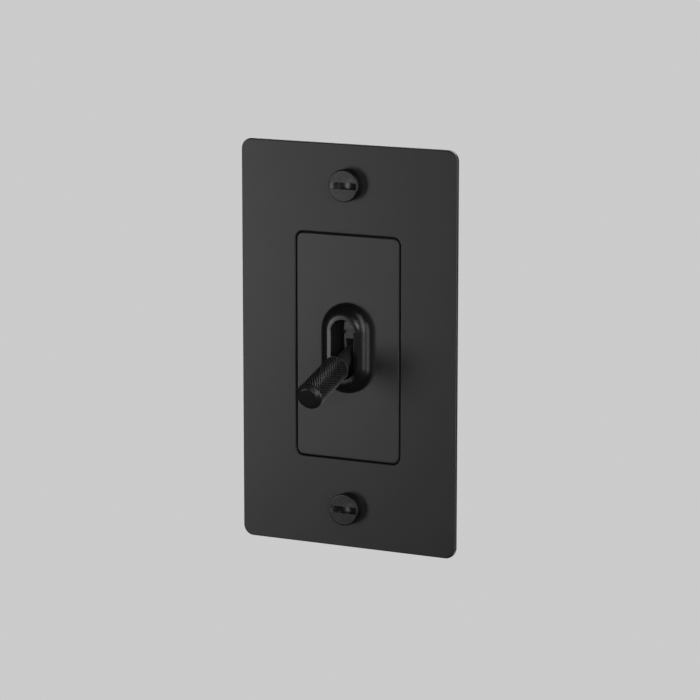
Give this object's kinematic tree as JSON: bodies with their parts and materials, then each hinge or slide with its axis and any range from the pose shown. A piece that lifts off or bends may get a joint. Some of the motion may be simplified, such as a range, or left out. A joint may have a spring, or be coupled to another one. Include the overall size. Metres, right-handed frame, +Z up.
{
  "type": "toggle wall switch",
  "caption": "Black wall switch: flat face plate with coin-slot screws, flush central panel, raised oval bezel and a knurled tilting lever on a steel yoke and moulded switch body.",
  "frame": {"origin": "centre of the face plate in the plane of its back, which is the wall surface", "axes": "+Z up along the plate, +Y into the wall, so the front and the lever face -Y, +X to the right of somebody facing the switch"},
  "size_m": [0.0698, 0.0604, 0.1206],
  "materials": {
    "plate": "fine satin black coating",
    "black_metal": "smooth satin black",
    "knurl": "black, cut diamond knurl",
    "zinc_steel": "zinc-plated pressed steel",
    "spring_steel": "bright drawn steel",
    "body_plastic": "moulded, fine spark texture",
    "grey_plastic": "moulded, plain",
    "foam": "closed-cell foam strip",
    "brass": "stamped, slightly tarnished",
    "silver": "contact alloy, dull polish",
    "nylon": "natural moulded nylon",
    "fibre": "vulcanised fibre sheet",
    "green_metal": "green dyed plating"
  },
  "bodies": {
    "switch_body": {"face_plate": "plate", "insert_panel": "plate", "toggle_bezel": "black_metal", "seam_seal": "foam", "mounting_yoke": "zinc_steel", "front_frame": "body_plastic", "rear_housing": "body_plastic", "pivot_pin": "spring_steel", "pin_clip": "spring_steel", "common_terminal": "brass", "common_screw": "black_metal", "ground_screw": "green_metal", "plate_screw_upper": "black_metal", "box_screw_upper": "zinc_steel", "screw_retainer_upper": "fibre", "panel_screw_upper": "zinc_steel", "bezel_screw_upper": "zinc_steel", "body_screw_upper": "zinc_steel", "fixed_contact_upper": "silver", "traveller_terminal_upper": "brass", "traveller_screw_upper": "brass", "plate_screw_lower": "black_metal", "box_screw_lower": "zinc_steel", "screw_retainer_lower": "fibre", "panel_screw_lower": "zinc_steel", "bezel_screw_lower": "zinc_steel", "body_screw_lower": "zinc_steel", "fixed_contact_lower": "silver", "traveller_terminal_lower": "brass", "traveller_screw_lower": "brass"},
    "lever": {"lever_drum": "grey_plastic", "lever_stem": "black_metal", "knurled_grip": "knurl", "plunger_spring": "spring_steel"},
    "plunger": {"plunger": "nylon"},
    "rocker": {"contact_rocker": "brass", "moving_contact_upper": "silver", "moving_contact_lower": "silver"}
  },
  "joints": [
    {"name": "lever_tilt", "type": "hinge", "parent": "switch_body", "child": "lever", "pos_m": [0, 0.0076, 0], "axis": [-1, 0, 0], "range_deg": [0, 32]},
    {"name": "plunger_slide", "type": "slide", "parent": "lever", "child": "plunger", "axis": [0, -0.9613, -0.2756], "range_m": [0, 0.001], "stiffness_N_per_m": 800, "springref_m": -0.002, "deforming": ["plunger_spring"]},
    {"name": "rocker_tilt", "type": "hinge", "parent": "switch_body", "child": "rocker", "pos_m": [0, 0.02645, 0], "axis": [1, 0, 0], "range_deg": [0, 14]}
  ],
  "couplings": [
    {"joint": "rocker_tilt", "follows": "lever_tilt", "ratio": 0.4375}
  ]
}
